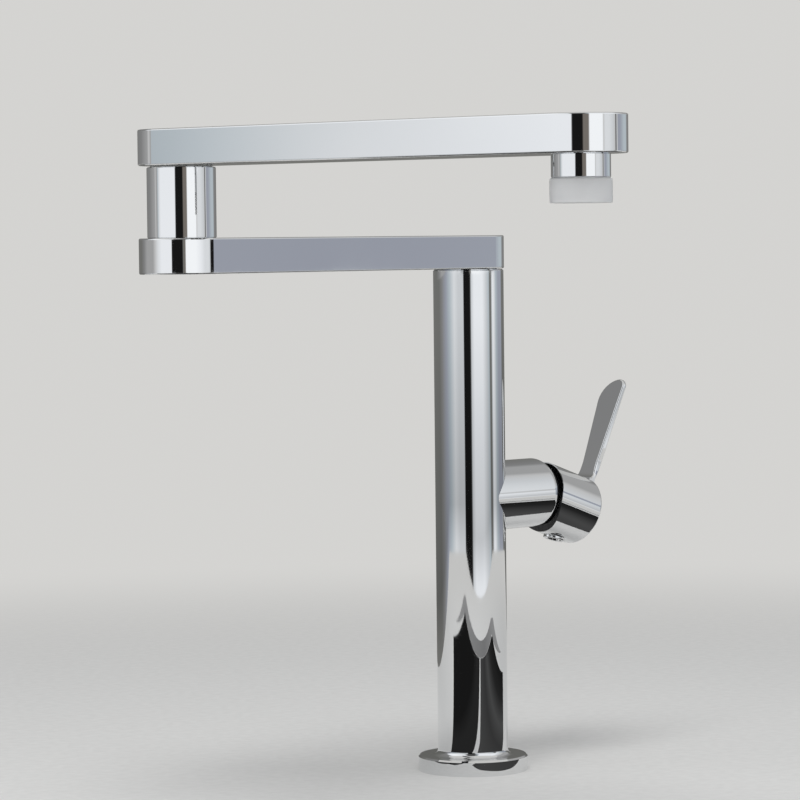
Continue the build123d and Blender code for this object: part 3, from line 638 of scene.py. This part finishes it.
def add_cards():
    """Four rings of upright cards, one above the other, and the level cards. Only the
    high rings light what isn't shiny."""
    for name, stops, foot, bottom, top, reach_of, diffuse in (
        ("cards_low", low_stops, low_foot, 0.0, low_ring_top, low_reach, False),
        ("cards_middle", middle_stops, None, middle_ring_bottom, middle_ring_top, high_reach, True),
        ("cards_high", high_stops, None, middle_ring_top, high_ring_top, high_reach, True),
        ("cards_upper", upper_stops, None, high_ring_top, upper_ring_top, high_reach, True),
    ):
        material = emission(name, ring_colour, stops, foot)
        add_ring(name, bottom, top, reach_of, material, diffuse)
    dark = emission("dark_level", level_colour, dark_stops)
    shade = emission("shade_level", level_colour, shade_stops)
    add_level_card("level_left", left_outline, level_height, dark)
    add_level_card("level_right", right_outline, level_height, dark)
    add_level_card("level_far", far_outline, far_level_height, shade)


def add_floor():
    """Pale floor that takes the shadow and fades into the background far away."""
    material, tree, output = new_material("floor")
    shader = tree.add("ShaderNodeBsdfPrincipled")
    shader.inputs["Roughness"].default_value = 0.95
    shader.inputs["Specular IOR Level"].default_value = 0.0
    where = tree.place()
    grain = tree.noise(where, 180.0, detail=4.0)
    tree.link(tree.drift(grain, *floor_tones), shader.inputs["Base Color"])
    far = tree.add("ShaderNodeVectorMath", operation="LENGTH")
    tree.link(where, far.inputs[0])
    fade = tree.map_range(far.outputs["Value"], fade_start, fade_end, 0.0, 1.0, "SMOOTHSTEP")
    glow = tree.add("ShaderNodeEmission")
    glow.inputs["Color"].default_value = (*background, 1.0)
    mix = tree.add("ShaderNodeMixShader")
    tree.link(fade, mix.inputs["Fac"])
    tree.link(shader.outputs["BSDF"], mix.inputs[1])
    tree.link(glow.outputs["Emission"], mix.inputs[2])
    tree.link(mix.outputs["Shader"], output.inputs["Surface"])
    rim = [circle_point(floor_radius, i, floor_steps, 0) for i in range(floor_steps)]
    floor = add_mesh("floor", rim, [range(floor_steps)], material)


def add_world():
    """Pale background that metal and plastic see too, and a softer fill for the rest."""
    world = bpy.data.worlds.new("world")
    world.use_nodes = True
    bpy.context.scene.world = world
    tree = Nodes(world.node_tree)
    output = tree.add("ShaderNodeOutputWorld")
    seen = tree.add("ShaderNodeBackground")
    seen.inputs["Color"].default_value = (*background, 1.0)
    fill = tree.add("ShaderNodeBackground")
    fill.inputs["Color"].default_value = (*fill_colour, 1.0)
    path = tree.add("ShaderNodeLightPath")
    glossy = tree.math("MAXIMUM", path.outputs["Is Camera Ray"], path.outputs["Is Glossy Ray"])
    shown = tree.math("MAXIMUM", glossy, path.outputs["Is Transmission Ray"])
    mix = tree.add("ShaderNodeMixShader")
    tree.link(shown, mix.inputs["Fac"])
    tree.link(fill.outputs["Background"], mix.inputs[1])
    tree.link(seen.outputs["Background"], mix.inputs[2])
    tree.link(mix.outputs["Shader"], output.inputs["Surface"])


def add_lamp(place, target, size, power):
    data = bpy.data.lights.new("lamp", "AREA")
    data.shape = "SQUARE"
    data.size = size
    data.energy = power
    lamp = bpy.data.objects.new("lamp", data)
    lamp.location = place
    towards = Vector(target) - Vector(place)
    lamp.rotation_mode = "QUATERNION"
    lamp.rotation_quaternion = towards.to_track_quat("-Z", "Y")
    lamp.visible_camera = False
    lamp.visible_glossy = False
    bpy.context.scene.collection.objects.link(lamp)


add_cards()
add_cut_handle()
add_cavity_shade_liner()
add_screw_collar()
add_threaded_shank()
add_camera()
add_floor()
add_world()
add_lamp(place=(-0.7, -0.5, 1.9), target=(-0.05, -0.05, 0.1), size=0.9, power=22.0)
bpy.context.scene.view_settings.view_transform = "Standard"
